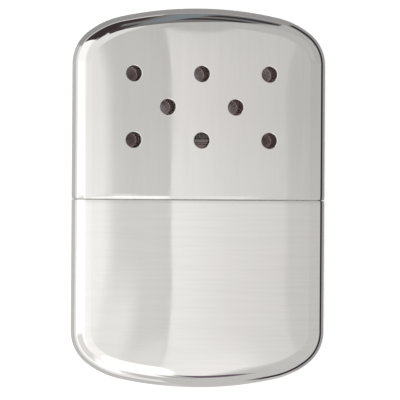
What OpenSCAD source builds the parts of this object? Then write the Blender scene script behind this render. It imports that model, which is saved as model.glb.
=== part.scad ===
// Catalytic hand warmer, lying on its back.
// X is the width, +Y runs from the fuel tank to the cap, and Z is the thickness.
// The back of the case rests on Z = 0 and the case is centred on X = 0 and Y = 0.

/* [Case] */
// Width of the case
case_w = 66.5; // [62:0.1:70]
// Length of the closed case
case_len = 99; // [92:0.5:106]
// Thickness at the crown of the two broad faces
case_t = 12.7; // [12.3:0.1:15]
// Sheet thickness of the cap and the tank
wall = 0.55; // [0.4:0.05:0.8]
// Radius of the drawn edge between a broad face and the side
edge_r = 5; // [4:0.1:5.2]
// Fall of a broad face from its middle line to the long drawn edges
crown = 0.9; // [0.1:0.1:1.1]
// Fall of a broad face along its middle line, from its middle to the drawn edge of an end
end_crown = 0.4; // [0.1:0.1:0.6]
// Share of the crown that flattens out towards an end
end_flatten = 0.25; // [0:0.05:0.5]
// Radius of the middle arc of each end
end_r = 96; // [86:1:108]
// Half angle of the middle arc of each end
end_arc = 12.4; // [10:0.2:14]
// Radius of the arcs beside the middle arc
shoulder_r = 21.2; // [19:0.2:24]
// Radius of the corners that run into the straight sides
corner_r = 10.5; // [9:0.1:12]

/* [Cap] */
// Length of the cap, from the seam to the top
cap_len = 50; // [46:0.5:54]
// Open joint that shows between the cap and the tank
seam_gap = 0.15; // [0.1:0.05:0.3]
// Diameter of an air vent
vent_d = 4; // [3:0.1:5]
// Distance from the top of the cap to the first row of vents
vent_top = 17.2; // [15:0.1:19]
// Half the distance between two vents of a row
vent_step_x = 8.9; // [8:0.1:9.5]
// Distance between two rows of vents
vent_step_y = 8.65; // [8:0.05:9]
// Rows of vents, with three and two vents in turn
vent_rows = 3; // [1:1:3]

/* [Tank top] */
// Height of the collar above the seam
collar_rise = 9.5; // [7:0.1:11]
// Depth of the collar inside the tank
collar_depth = 11; // [8:0.5:16]
// Sheet thickness of the collar and its deck
collar_wall = 0.5; // [0.4:0.05:0.7]
// Slip clearance between the collar and the shells around it
slip = 0.15; // [0.1:0.05:0.25]
// Radius of the rounded shoulder round the deck
shoulder_round = 1.2; // [0.8:0.1:1.5]

/* [Neck] */
// Height of the oval neck above the deck
neck_rise = 4.2; // [3.5:0.1:5]
// Depth of the neck below the deck
neck_depth = 3; // [2:0.1:4]
// Sheet thickness of the neck
neck_wall = 0.5; // [0.3:0.05:0.6]
// Width of the flange that seats the neck on the deck
flange_w = 0.9; // [0.6:0.1:1.2]
// Thickness of that flange
flange_t = 0.4; // [0.3:0.05:0.5]
// Height that the wick stays below the mouth of the neck
wick_below = 0.3; // [0.1:0.1:0.8]

/* [Filling] */
// Clearance round a soft piece of the filling
pad_gap = 0.3; // [0.2:0.05:0.4]
// Thickness of the middle cotton pad, measured along the tank
pad_middle = 17; // [12:1:20]
// Length of the wick below the deck
wick_depth = 6; // [5:0.5:7]

/* [Burner] */
// Width of the burner cage without its side seams
cage_w = 29; // [26:0.5:32]
// Air space between the burner cage and the middle of the cap's walls
cage_air = 1.2; // [1.1:0.1:1.6]
// Height of the cage above its base plate
cage_h = 6.2; // [5.6:0.1:7]
// Sheet thickness of the burner's pressed pieces
burner_sheet = 0.4; // [0.3:0.05:0.5]
// Running clearance between the skirt and the neck
skirt_clear = 0.1; // [0.05:0.01:0.15]
// Step from the skirt out to the ends of the cage
ledge_w = 2; // [1.5:0.1:2.5]
// Step from the skirt out to the front of the cage
ledge_t = 0.6; // [0.5:0.05:0.7]
// Space between the mouth of the neck and the base plate
neck_head = 0.8; // [0.4:0.1:1.2]
// Space between the neck's flange and the lower edge of the skirt
seat_gap = 0.2; // [0.1:0.05:0.4]
// Windows in each side of the cage
windows = 3; // [2:1:4]
// Width of the bars between the windows
window_bar = 1.3; // [1:0.1:1.8]
// Rim that a window leaves above and below it
window_rim = 0.9; // [0.7:0.1:1.1]
// Width of the flange along the cage's side and top seams
seam_flange = 1.2; // [0.9:0.1:1.4]
// Sheet thickness of the folded seam channels
channel_t = 0.35; // [0.25:0.05:0.4]

/* [Catalyst] */
// Thickness of the perforated former inside the mat
former_t = 3.6; // [3.2:0.1:4]
// Sheet thickness of the former
former_wall = 0.3; // [0.2:0.05:0.4]
// Thickness of the glass-fibre mat over the top of the former
mat_top = 0.7; // [0.5:0.1:0.9]
// Thickness of a gauze
gauze_t = 0.3; // [0.2:0.05:0.35]
// Width of a wire of the gauze
gauze_wire = 0.32; // [0.25:0.01:0.4]
// Distance between two wires of the gauze
gauze_pitch = 0.9; // [0.8:0.05:1.2]
// Space between a gauze and its neighbours
gauze_gap = 0.08; // [0.05:0.01:0.12]

/* [Hidden] */
$fn = 48;

// Steps of the drawn forms
edge_steps = 7;
arc_steps = [4, 4, 6];
side_steps = 3;
face_rings = [0.35, 0.7];
shoulder_steps = 4;

// Room past a face for a cut, and a hair of play between fixed round pieces
past = 1;
snug = 0.02;

// Main planes of the case
mid_z = case_t / 2;
top_y = case_len / 2;
seam_y = top_y - cap_len;
cap_y = seam_y + seam_gap / 2;
tank_y = seam_y - seam_gap / 2;
face_x = case_w / 2 - edge_r;
face_y = top_y - edge_r;

// Heights of the tank top and the neck
deck_y = seam_y + collar_rise;
collar_y = seam_y - collar_depth;
neck_y = deck_y + neck_rise;
collar_inset = wall + slip;
collar_inside = collar_inset + collar_wall;

// Heights of the burner
skirt_y = deck_y + flange_t + seat_gap;
base_y = neck_y + neck_head;
cage_y = base_y + burner_sheet;
cage_top = cage_y + cage_h;

// Widths and thicknesses from the cap's wall in to the neck
cage_t = case_t - 2 * (wall + cage_air);
skirt_w = cage_w - 2 * ledge_w;
skirt_t = cage_t - 2 * ledge_t;
socket_w = skirt_w - 2 * burner_sheet;
socket_t = skirt_t - 2 * burner_sheet;
neck_w = socket_w - 2 * skirt_clear;
neck_t = socket_t - 2 * skirt_clear;

// Layers inside the cage
gauze_z = cage_t / 2 - burner_sheet - gauze_gap - gauze_t;
mat_t = 2 * (gauze_z - gauze_gap);
mat_w = cage_w - 2 * (burner_sheet + pad_gap);
mat_wall = (mat_t - former_t) / 2;
former_w = mat_w - 2 * mat_wall;
mat_y = cage_top - burner_sheet - pad_gap / 2;
former_y = mat_y - mat_top;
split = 2 * snug;

// ---- Drawn form of the case ----

// Fall of a broad face at a place on it
function fall(x, y) =
  crown * pow(x / face_x, 2) * (1 - end_flatten * pow(y / face_y, 6)) + end_crown * pow(y / face_y, 4);

// Centres of the three arcs of an end, and the angle where the shoulder ends
end_c = [0, top_y - end_r];
shoulder_c = end_c + (end_r - shoulder_r) * [sin(end_arc), cos(end_arc)];
shoulder_arc = asin((case_w / 2 - corner_r - shoulder_c.x) / (shoulder_r - corner_r));
corner_c = shoulder_c + (shoulder_r - corner_r) * [sin(shoulder_arc), cos(shoulder_arc)];

// A station is [x, y, outward x, outward y] on the line where the drawn edge begins
function arc_station(c, r, a) =
  [c.x + (r - edge_r) * sin(a), c.y + (r - edge_r) * cos(a), sin(a), cos(a)];

// Stations of the right half of an end, from its middle down to the cut at height y
function half_run(y) = concat(
  [for (i = [0:arc_steps[0]]) arc_station(end_c, end_r, end_arc * i / arc_steps[0])],
  [for (i = [1:arc_steps[1]])
    arc_station(shoulder_c, shoulder_r, end_arc + (shoulder_arc - end_arc) * i / arc_steps[1])],
  [for (i = [1:arc_steps[2]])
    arc_station(corner_c, corner_r, shoulder_arc + (90 - shoulder_arc) * i / arc_steps[2])],
  [for (i = [1:side_steps]) [face_x, corner_c.y + (y - corner_c.y) * i / side_steps, 1, 0]]
);

// Stations of the whole end, from the left cut round to the right cut
function end_run(y) = let (right = half_run(y), n = len(right)) concat(
  [for (i = [n - 1:-1:1]) [-right[i][0], right[i][1], -right[i][2], right[i][3]]],
  right
);

// Point of the drawn edge at a station: angle a runs from -90 at the back to 90 at the front
function edge_point(s, a, side, inset) = [
  s[0] + (edge_r - inset) * cos(a) * s[2],
  s[1] + (edge_r - inset) * cos(a) * s[3],
  mid_z + side * (mid_z - fall(s[0], s[1]) - edge_r) + (edge_r - inset) * sin(a)
];

// Point of a broad face: where the case rests on it, the inmost ring lies flat
function face_point(s, k, side, inset, y, rests) =
  let (px = k * s[0], py = y + k * (s[1] - y), low = rests && k == face_rings[0] ? 0 : fall(px, py))
  [px, py, mid_z + side * (mid_z - low - inset)];

// All rings of one end, from the middle of the back round the edge to the middle of the front
function end_rings(y, inset, rests = true) = let (run = end_run(y), n = len(face_rings)) concat(
  [for (k = face_rings) [for (s = run) face_point(s, k, -1, inset, y, rests)]],
  [for (i = [0:edge_steps]) [for (s = run) edge_point(s, 90 * i / edge_steps - 90, -1, inset)]],
  [for (i = [0:edge_steps]) [for (s = run) edge_point(s, 90 * i / edge_steps, 1, inset)]],
  [for (i = [n - 1:-1:0]) [for (s = run) face_point(s, face_rings[i], 1, inset, y, rests)]]
);

// Two triangles for each cell between neighbouring rings of n points
function skin_faces(rings, n, first, turn) = [
  for (k = [0:rings - 2], j = [0:n - 2])
    let (a = first + k * n + j, b = a + 1, c = b + n, d = a + n)
    each turn ? [[a, c, b], [a, d, c]] : [[a, b, c], [a, c, d]]
];

// Triangles across one ring of n points, from its left half to its right half
function disc_faces(n, first, turn) = let (m = (n - 1) / 2) [
  for (j = [0:m - 1])
    let (a = first + j, b = a + 1, d = first + n - 1 - j, c = d - 1)
    each concat(
      j < m - 1 ? [turn ? [b, a, c] : [a, b, c]] : [],
      [turn ? [c, a, d] : [a, c, d]]
    )
];

function count_up(first, n) = [for (i = [0:n - 1]) first + i];
function count_down(first, n) = [for (i = [n - 1:-1:0]) first + i];

// One drawn cup with its closed end towards +Y and its rim at height y
module drawn_cup(y, inset, thickness) {
  outer = end_rings(y, inset);
  inner = end_rings(y, inset + thickness);
  rings = len(outer);
  n = len(outer[0]);
  m = rings * n;
  last = m - n;
  rim = concat(
    [for (k = [0:rings - 2]) let (a = k * n, b = a + n) each [[a, b, b + m], [a, b + m, a + m]]],
    [for (k = [0:rings - 2]) let (a = k * n + n - 1, b = a + n) each [[a, a + m, b + m], [a, b + m, b]]],
    [[0, m, m + n - 1], [0, m + n - 1, n - 1]],
    [[last, m - 1, 2 * m - 1], [last, 2 * m - 1, m + last]]
  );
  polyhedron(
    points = [for (ring = concat(outer, inner)) each ring],
    faces = concat(
      skin_faces(rings, n, 0, false), disc_faces(n, 0, true), disc_faces(n, last, false),
      skin_faces(rings, n, m, true), disc_faces(n, m, false), disc_faces(n, m + last, true),
      rim
    )
  );
}

// The same form as a solid, crowned all over, with a flat face at height y
module drawn_end(y, inset) {
  shape = end_rings(y, inset, false);
  rings = len(shape);
  n = len(shape[0]);
  rim = [
    for (k = [0:rings - 2]) let (a = k * n, b = a + n, c = b + n - 1, d = a + n - 1)
      each [[a, b, c], [a, c, d]]
  ];
  polyhedron(
    points = [for (ring = shape) each ring],
    faces = concat(
      skin_faces(rings, n, 0, false), disc_faces(n, 0, true), disc_faces(n, (rings - 1) * n, false),
      rim
    )
  );
}

// Cross-section of the straight part of the case, as [x, z] from the right side of the back round
function section_half(inset) = [
  for (p = [for (ring = end_rings(cap_y, inset)) ring[len(ring) - 1]]) [p.x, p.z]
];
function section(inset) = let (right = section_half(inset), n = len(right)) concat(
  right,
  [for (i = [n - 1:-1:0]) [-right[i].x, right[i].y]]
);

// ---- Small forms ----

// Extrudes an outline drawn in X and Z between two heights
module between(low, high) {
  translate([0, high, 0]) rotate([90, 0, 0]) linear_extrude(high - low) children();
}

// Oval with flat long sides, centred on the case's mid plane
module oval(w, t) {
  translate([0, mid_z]) {
    square([w - t, t], center = true);
    for (side = [-1, 1]) translate([side * (w - t) / 2, 0]) circle(d = t);
  }
}

module oval_ring(w, t, thickness) {
  difference() {
    oval(w, t);
    oval(w - 2 * thickness, t - 2 * thickness);
  }
}

// Slot with round ends, drawn flat, h along its length
module slot(w, h) {
  square([w, h - w], center = true);
  for (side = [-1, 1]) translate([0, side * (h - w) / 2]) circle(d = w);
}

// Flat pad with the outline of the case's section
module pad(low, high, inset) {
  between(low, high) polygon(section(inset));
}

// ---- Case ----

module vents() {
  for (row = [0:vent_rows - 1], i = [0:2 - row % 2])
    translate([(2 * i - 2 + row % 2) * vent_step_x, top_y - vent_top - row * vent_step_y, -past])
      cylinder(d = vent_d, h = case_t + 2 * past);
}

module cap_shell() {
  color("lightgray") difference() {
    drawn_cup(cap_y, 0, wall);
    vents();
  }
}

module tank_shell() {
  color("silver") mirror([0, 1, 0]) drawn_cup(-tank_y, 0, wall);
}

// Rings of the collar from its lower edge to its deck, as [height, inset]
function collar_rings(top, inset, round) = concat(
  [[collar_y, inset]],
  [for (i = [0:shoulder_steps]) let (a = 90 * i / shoulder_steps)
    [top - round + round * sin(a), inset + round * (1 - cos(a))]]
);

function collar_loop(ring) = [for (p = section(ring[1])) [p.x, ring[0], p.y]];

// Triangles between neighbouring closed loops of n points
function loop_faces(loops, n, first, turn) = [
  for (k = [0:loops - 2], j = [0:n - 1])
    let (a = first + k * n + j, b = first + k * n + (j + 1) % n, c = b + n, d = a + n)
    each turn ? [[a, b, c], [a, c, d]] : [[a, c, b], [a, d, c]]
];

// Collar and deck, drawn in one piece like a cup turned over
module tank_top() {
  outer = [for (r = collar_rings(deck_y, collar_inset, shoulder_round)) collar_loop(r)];
  inner = [
    for (r = collar_rings(deck_y - collar_wall, collar_inside, shoulder_round - collar_wall)) collar_loop(r)
  ];
  loops = len(outer);
  n = len(outer[0]);
  m = loops * n;
  rim = [for (j = [0:n - 1]) let (a = j, b = (j + 1) % n) each [[a, b, b + m], [a, b + m, a + m]]];
  color("gainsboro") difference() {
    polyhedron(
      points = [for (loop = concat(outer, inner)) each loop],
      faces = concat(
        loop_faces(loops, n, 0, false), [count_up(m - n, n)],
        loop_faces(loops, n, m, true), [count_down(2 * m - n, n)],
        rim
      )
    );
    between(deck_y - collar_wall - past, deck_y + past) oval(neck_w + 2 * snug, neck_t + 2 * snug);
  }
}

module neck_sleeve() {
  color("darkgray") {
    between(deck_y - neck_depth, neck_y) oval_ring(neck_w, neck_t, neck_wall);
    between(deck_y, deck_y + flange_t)
      oval_ring(neck_w + 2 * flange_w, neck_t + 2 * flange_w, flange_w + neck_wall);
  }
}

// ---- Filling ----

wick_y = deck_y - wick_depth;
pad_y = collar_y - pad_gap;
pad_low = pad_y - pad_middle;

module wick_felt() {
  play = 2 * (neck_wall + snug);
  color("ivory") between(wick_y, neck_y - wick_below) oval(neck_w - play, neck_t - play);
}

module cotton_upper() {
  color("white") pad(collar_y, wick_y - pad_gap / 2, collar_inside + pad_gap);
}

module cotton_middle() {
  color("whitesmoke") pad(pad_low, pad_y, wall + pad_gap);
}

module cotton_lower() {
  color("white") mirror([0, 1, 0]) drawn_end(-(pad_low - pad_gap), wall + pad_gap);
}

// ---- Burner ----

// Sprung tongues are cut free on three sides in both long faces of the skirt
tongue_w = 3;
tongue_rim = 0.9;
tongue_cut = 0.3;
tongue_x = skirt_w / 4;
tongue_h = base_y - skirt_y - 2 * tongue_rim;

module tongue_slits() {
  for (side = [-1, 1]) translate([side * tongue_x, skirt_y + (base_y - skirt_y) / 2, -past])
    linear_extrude(case_t + 2 * past) difference() {
      square([tongue_w + 2 * tongue_cut, tongue_h], center = true);
      translate([0, tongue_cut]) square([tongue_w, tongue_h], center = true);
    }
}

module burner_skirt() {
  color("lightsteelblue") difference() {
    between(skirt_y, base_y) oval_ring(skirt_w, skirt_t, burner_sheet);
    tongue_slits();
  }
}

// Vapour slots in the base plate open into the former
base_slots = 5;
base_slot_w = 1.4;

module burner_base() {
  reach = former_w - 2 * former_wall - former_t;
  color("slategray") difference() {
    between(base_y, cage_y) oval(cage_w, cage_t);
    between(base_y - past, cage_y + past)
      for (i = [0:base_slots - 1])
        translate([(i / (base_slots - 1) - 0.5) * reach, mid_z])
          rotate(90) slot(base_slot_w, 2 * base_slot_w);
  }
}

// Round holes through both long sides of the former feed the mat
former_holes = 8;
former_hole_d = 1.5;

module mat_former() {
  step = (former_w - former_t) / former_holes;
  rise = (former_y - cage_y) / 2;
  color("dimgray") difference() {
    between(cage_y, former_y) oval_ring(former_w, former_t, former_wall);
    for (i = [0:former_holes - 1], row = [0, 1])
      translate([(i - (former_holes - 1) / 2) * step, cage_y + (row + 0.5) * rise, -past])
        cylinder(d = former_hole_d, h = case_t + 2 * past, $fn = 24);
  }
}

module catalyst_mat() {
  color("linen") difference() {
    between(cage_y, mat_y) oval(mat_w, mat_t);
    between(cage_y - past, former_y + snug) oval(former_w + 2 * snug, former_t + 2 * snug);
  }
}

gauze_w = cage_w - cage_t;
gauze_cols = floor((gauze_w - gauze_wire) / gauze_pitch);
gauze_rows = floor((mat_y - cage_y - gauze_wire) / gauze_pitch);

// Woven gauze as a flat net, on the given side of the mat
module gauze(side) {
  hole = gauze_pitch - gauze_wire;
  h = mat_y - cage_y;
  z = mid_z + (side > 0 ? gauze_z : -gauze_z - gauze_t);
  color("rosybrown") translate([0, cage_y + h / 2, z]) linear_extrude(gauze_t) difference() {
    square([gauze_w, h], center = true);
    for (i = [0:gauze_cols - 1], j = [0:gauze_rows - 1])
      translate([(i - (gauze_cols - 1) / 2) * gauze_pitch, (j - (gauze_rows - 1) / 2) * gauze_pitch])
        square(hole, center = true);
  }
}

module gauze_front() {
  gauze(1);
}

module gauze_back() {
  gauze(-1);
}

// Rounded window, drawn flat
module window(w, h, r) {
  square([w - 2 * r, h], center = true);
  square([w, h - 2 * r], center = true);
  for (x = [-1, 1], y = [-1, 1]) translate([x * (w / 2 - r), y * (h / 2 - r)]) circle(r = r);
}

window_r = 0.9;
window_h = cage_h - burner_sheet - 2 * window_rim;
window_w = (gauze_w - (windows - 1) * window_bar) / windows;
top_seam_w = cage_w - cage_t;

// Keeps the part of the cage on the front of its middle plane
module front_half() {
  intersection() {
    children();
    translate([-case_w / 2, mid_z + split / 2]) square([case_w, case_t]);
  }
}

// One pressed half of the cage, with windows, a roof and flanges for the seams
module grille() {
  color("lightslategray") difference() {
    union() {
      between(cage_y, cage_top) front_half() {
        oval_ring(cage_w, cage_t, burner_sheet);
        translate([0, mid_z]) for (side = [-1, 1])
          translate([side * (cage_w / 2 - burner_sheet + seam_flange / 2), 0])
            square([seam_flange + burner_sheet, split + 2 * burner_sheet], center = true);
      }
      between(cage_top - burner_sheet, cage_top) front_half() oval(cage_w, cage_t);
      translate([-top_seam_w / 2, cage_top - burner_sheet, mid_z + split / 2])
        cube([top_seam_w, seam_flange / 2 + burner_sheet, burner_sheet]);
    }
    for (i = [0:windows - 1])
      translate([
        (i - (windows - 1) / 2) * (window_w + window_bar),
        cage_y + (cage_h - burner_sheet) / 2,
        mid_z + cage_t / 4
      ])
        linear_extrude(cage_t) window(window_w, window_h, window_r);
  }
}

module grille_front() {
  grille();
}

module grille_back() {
  translate([0, 0, case_t]) mirror([0, 0, 1]) grille();
}

// Folded channel that closes on a seam's two flanges: length along Y, mouth towards -X
module channel(length, depth) {
  grip = split + 2 * burner_sheet;
  color("gray") translate([-depth, -length / 2, -grip / 2 - channel_t]) difference() {
    cube([depth + channel_t, length, grip + 2 * channel_t]);
    translate([-past, -past, channel_t]) cube([depth + past, length + 2 * past, grip]);
  }
}

side_channel_x = cage_w / 2 - burner_sheet / 2 + seam_flange;
channel_lap = 0.75;

module seam_channel_right() {
  translate([side_channel_x, (cage_y + cage_top) / 2, mid_z])
    channel(cage_h - burner_sheet, seam_flange * channel_lap);
}

module seam_channel_left() {
  mirror([1, 0, 0]) seam_channel_right();
}

module seam_channel_top() {
  translate([0, cage_top + seam_flange / 2, mid_z]) rotate([0, 0, 90])
    channel(top_seam_w, seam_flange / 2 * channel_lap);
}

cap_shell();
tank_shell();
tank_top();
neck_sleeve();
wick_felt();
cotton_upper();
cotton_middle();
cotton_lower();
burner_skirt();
burner_base();
mat_former();
catalyst_mat();
gauze_front();
gauze_back();
grille_front();
grille_back();
seam_channel_left();
seam_channel_right();
seam_channel_top();
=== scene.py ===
"""Looks of a catalytic hand warmer: a chrome case in two halves over a caged burner, lying on its back.

Forms are worked out in millimetres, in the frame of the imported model, and made metres in a mesh.
X is the width, +Y runs from the fuel tank to the cap, and Z is the thickness.
"""

import math

import bpy
import numpy as np
from mathutils import Matrix, Vector
from mathutils.geometry import delaunay_2d_cdt


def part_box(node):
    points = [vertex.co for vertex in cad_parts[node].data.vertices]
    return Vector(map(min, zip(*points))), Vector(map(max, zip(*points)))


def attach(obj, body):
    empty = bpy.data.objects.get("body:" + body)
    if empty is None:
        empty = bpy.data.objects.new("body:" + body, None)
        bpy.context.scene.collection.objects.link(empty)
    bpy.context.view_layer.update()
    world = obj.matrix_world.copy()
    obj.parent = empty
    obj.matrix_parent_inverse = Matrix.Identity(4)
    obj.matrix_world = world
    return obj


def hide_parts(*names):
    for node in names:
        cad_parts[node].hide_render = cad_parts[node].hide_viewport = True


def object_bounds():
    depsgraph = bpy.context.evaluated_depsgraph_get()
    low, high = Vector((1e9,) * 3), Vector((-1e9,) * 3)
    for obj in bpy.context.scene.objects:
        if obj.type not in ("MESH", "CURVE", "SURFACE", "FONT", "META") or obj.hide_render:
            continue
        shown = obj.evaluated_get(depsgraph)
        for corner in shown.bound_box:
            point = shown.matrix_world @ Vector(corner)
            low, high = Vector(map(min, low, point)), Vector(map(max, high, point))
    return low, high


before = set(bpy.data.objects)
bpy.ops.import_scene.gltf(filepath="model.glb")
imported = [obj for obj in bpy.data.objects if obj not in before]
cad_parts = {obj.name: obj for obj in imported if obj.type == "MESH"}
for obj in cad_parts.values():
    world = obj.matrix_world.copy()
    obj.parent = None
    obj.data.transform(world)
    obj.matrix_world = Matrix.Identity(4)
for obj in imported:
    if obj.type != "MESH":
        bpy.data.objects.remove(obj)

CAD_LOW, CAD_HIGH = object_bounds()
MM = 0.001


def node_box(name):
    """Lowest and highest corner of a node of the frame, in millimetres."""
    low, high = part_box(name)
    return np.array(low) / MM, np.array(high) / MM


# ---- Sizes of the case, in millimetres ----

CASE_W, CASE_LEN, CASE_T = (np.array(CAD_HIGH) - np.array(CAD_LOW)) / MM
MID_Z = CASE_T / 2
WALL = 0.55
EDGE_R = 5.0
CROWN = 0.9
END_CROWN = 0.4
END_FLATTEN = 0.25
END_R = 96.0
END_ARC = math.radians(12.4)
SHOULDER_R = 21.2
CORNER_R = 10.5
TOP_Y = CASE_LEN / 2
FACE_X = CASE_W / 2 - EDGE_R
FACE_Y = TOP_Y - EDGE_R
CAP_RIM = node_box("cap_shell")[0][1]
TANK_RIM = -node_box("tank_shell")[1][1]

VENT_R = 2.0
VENT_TOP = 17.2
VENT_STEP_X = 8.9
VENT_STEP_Y = 8.65
VENT_ROWS = 3

# Rounded edges of the sheet, and how far the halves roll in towards the seam
LIP_OUT = 0.24
LIP_IN = 0.1
RIM_OUT = 0.13
RIM_IN = 0.1
RIM_BAND = 3.0
RIM_ROWS = (2.2, 1.6, 1.2, 0.85, 0.55, 0.3, RIM_OUT)
RIM_ROWS_INSIDE = (0.3, 0.85, 1.6)
CAP_ROLL = (0.08, 1.6)
TANK_ROLL = (0.03, 1.0)

# Steps of the meshes, and how far the points of a grid keep from borders and vents
GRID = 1.0
GRID_START = 0.37 * GRID
GRID_CLEAR = 0.45 * GRID
EDGE_STEPS = 18
LIP_STEPS = 5
VENT_STEPS = 48
VENT_GUARDS = (0.35, 0.85)
VENT_CLEAR = 1.35


# ---- Drawn form of the case ----

def fall(x, y):
    """Fall of a broad face at a place on it."""
    across = CROWN * (x / FACE_X) ** 2 * (1 - END_FLATTEN * (y / FACE_Y) ** 6)
    return across + END_CROWN * (y / FACE_Y) ** 4


def ripple(seed, depth=0.005):
    """Unevenness that pressing and polishing leave in a broad face: a few long shallow waves."""
    draw = np.random.default_rng(seed)
    waves = []
    for length in (44.0, 31.0, 22.0, 15.0):
        angle = draw.uniform(0, math.pi)
        phase = draw.uniform(0, 2 * math.pi)
        number = 2 * math.pi / length
        share = depth * (length / 44.0) ** 2
        waves.append((number * math.cos(angle), number * math.sin(angle), phase, share))

    def height(x, y):
        return sum(s * (1 + np.sin(kx * x + ky * y + p)) for kx, ky, p, s in waves)

    return height


def slopes(height, x, y, step=0.01):
    """Slopes of a height along x and along y."""
    dx = (height(x + step, y) - height(x - step, y)) / (2 * step)
    dy = (height(x, y + step) - height(x, y - step)) / (2 * step)
    return dx, dy


def unit(v):
    return v / np.linalg.norm(v, axis=-1, keepdims=True)


def way_along(rows):
    """Way from the first place of some rows to each of them."""
    return np.concatenate([[0], np.cumsum(np.hypot(np.diff(rows[:, 0]), np.diff(rows[:, 1])))])


def face_normals(height, x, y):
    dx, dy = slopes(height, x, y)
    return unit(np.stack([dx, dy, np.ones_like(dx)], axis=-1))


def face_points(height, x, y):
    return np.stack([x, y, CASE_T - height(x, y)], axis=-1)


def arcs():
    """Centre, radius, first and last angle of the arcs of the right half of an end."""
    end = np.array([0.0, TOP_Y - END_R])
    shoulder = end + (END_R - SHOULDER_R) * np.array([math.sin(END_ARC), math.cos(END_ARC)])
    turn = math.asin((CASE_W / 2 - CORNER_R - shoulder[0]) / (SHOULDER_R - CORNER_R))
    corner = shoulder + (SHOULDER_R - CORNER_R) * np.array([math.sin(turn), math.cos(turn)])
    return (
        (end, END_R, 0.0, END_ARC),
        (shoulder, SHOULDER_R, END_ARC, turn),
        (corner, CORNER_R, turn, math.pi / 2),
    )


def stations(low):
    """Line where the drawn edge begins, as rows of x, y, outward x, outward y and curvature.
    It runs from height low on the left round the end to height low on the right."""
    right = []
    for centre, radius, first, last in arcs():
        inner = radius - EDGE_R
        steps = math.ceil(radius * (last - first) / (0.8 * GRID))
        for a in np.linspace(first, last, steps + 1)[:-1]:
            out = (math.sin(a), math.cos(a))
            right.append((centre[0] + inner * out[0], centre[1] + inner * out[1], *out, 1 / inner))
    side_top = centre[1]
    steps = math.ceil((side_top - low) / GRID)
    right += [(FACE_X, y, 1, 0, 0) for y in np.linspace(side_top, low, steps + 1)]
    right = np.array(right)
    left = right[:0:-1] * (-1, 1, -1, 1, 1)
    return np.vstack([left, right])


def edge_start(height, rows):
    """Where the drawn edge meets the broad face without a crease, and the slope of the face there."""
    x, y, nx, ny = rows[:, 0], rows[:, 1], rows[:, 2], rows[:, 3]
    reach = np.zeros(len(rows))
    for _ in range(5):
        dx, dy = slopes(height, x + reach * nx, y + reach * ny)
        tilt = np.arctan(dx * nx + dy * ny)
        reach = EDGE_R * np.sin(tilt)
    return x + reach * nx, y + reach * ny, tilt


def drawn_edge(height, rows):
    """Points and normals of the drawn edge, in rows from the broad face out to the side."""
    bx, by, tilt = edge_start(height, rows)
    level = CASE_T - height(bx, by) - EDGE_R * np.cos(tilt)
    along = np.gradient(level, way_along(rows))
    nx, ny, bend = rows[:, 2], rows[:, 3], rows[:, 4]
    points, normals = [], []
    for i in range(1, EDGE_STEPS + 1):
        a = (math.pi / 2 - tilt) * (1 - i / EDGE_STEPS)
        out = EDGE_R * np.cos(a)
        points.append((rows[:, 0] + out * nx, rows[:, 1] + out * ny, level + EDGE_R * np.sin(a)))
        twist = -np.sin(a) * along / (1 + bend * out)
        normals.append((np.cos(a) * nx + twist * ny, np.cos(a) * ny - twist * nx, np.sin(a)))
    return np.moveaxis(points, 1, -1), unit(np.moveaxis(normals, 1, -1))


def on_side(over, points, normals):
    """The same surface on the front of the case, or on its back if over."""
    return (points * (1, 1, -1) + (0, 0, CASE_T), normals * (1, 1, -1)) if over else (points, normals)


# ---- Meshes ----

# Ways to flip a form: to the back, to the left, and to the end of the tank
TO_BACK = ((1, 1, -1), (0, 0, CASE_T))
TO_LEFT = ((-1, 1, 1), (0, 0, 0))
TO_TANK_END = ((1, -1, 1), (0, 0, 0))


class Skin:
    """A mesh in the making: points with their normals, and faces with the number of their material."""

    def __init__(self):
        self.points = np.zeros((0, 3))
        self.normals = np.zeros((0, 3))
        self.faces = []
        self.slots = []

    def add(self, points, normals):
        """Adds points in a block of any shape and gives their numbers in the same shape."""
        points = np.asarray(points, float)
        first = len(self.points)
        self.points = np.vstack([self.points, points.reshape(-1, 3)])
        self.normals = np.vstack([self.normals, np.asarray(normals, float).reshape(-1, 3)])
        return np.arange(first, len(self.points)).reshape(points.shape[:-1])

    def cover(self, faces, slot=0):
        self.faces += [tuple(int(i) for i in face) for face in faces]
        self.slots += [slot] * len(faces)

    def weave(self, rows, slot=0, closed=False):
        """Covers the space between neighbouring rows of points."""
        rows = np.asarray(rows)
        if closed:
            rows = np.hstack([rows, rows[:, :1]])
        a, b, c, d = rows[:-1, :-1], rows[:-1, 1:], rows[1:, 1:], rows[1:, :-1]
        self.cover(np.stack([a, b, c, d], -1).reshape(-1, 4), slot)

    def flipped(self, flip, shift):
        """Moves the form to another side."""
        self.points, self.normals = self.points * flip + shift, self.normals * flip
        return self

    def mesh(self, name):
        """Makes the mesh, with every face turned to look along its points' normals."""
        points, normals = self.points, unit(self.normals)
        faces = []
        for face in self.faces:
            p = points[list(face)]
            a, b = (p[2] - p[0], p[3] - p[1]) if len(face) == 4 else (p[1] - p[0], p[2] - p[0])
            along = normals[list(face)].sum(0)
            faces.append(face if np.cross(a, b) @ along >= 0 else face[::-1])
        made = bpy.data.meshes.new(name)
        made.from_pydata((points * MM).tolist(), [], faces)
        made.polygons.foreach_set("material_index", self.slots)
        made.polygons.foreach_set("use_smooth", [True] * len(faces))
        made.normals_split_custom_set_from_vertices(normals.tolist())
        made.update()
        return made


def new_object(name, data):
    made = bpy.data.objects.new(name, data)
    bpy.context.scene.collection.objects.link(made)
    return made


def place(name, mesh, body, replaces, slot, *materials):
    """Puts a mesh in the scene as a piece that rides on a body and stands for a node of the frame."""
    piece = new_object(name, mesh)
    for material in materials:
        mesh.materials.append(material)
    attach(piece, body)
    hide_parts(*replaces)
    return piece


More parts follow.
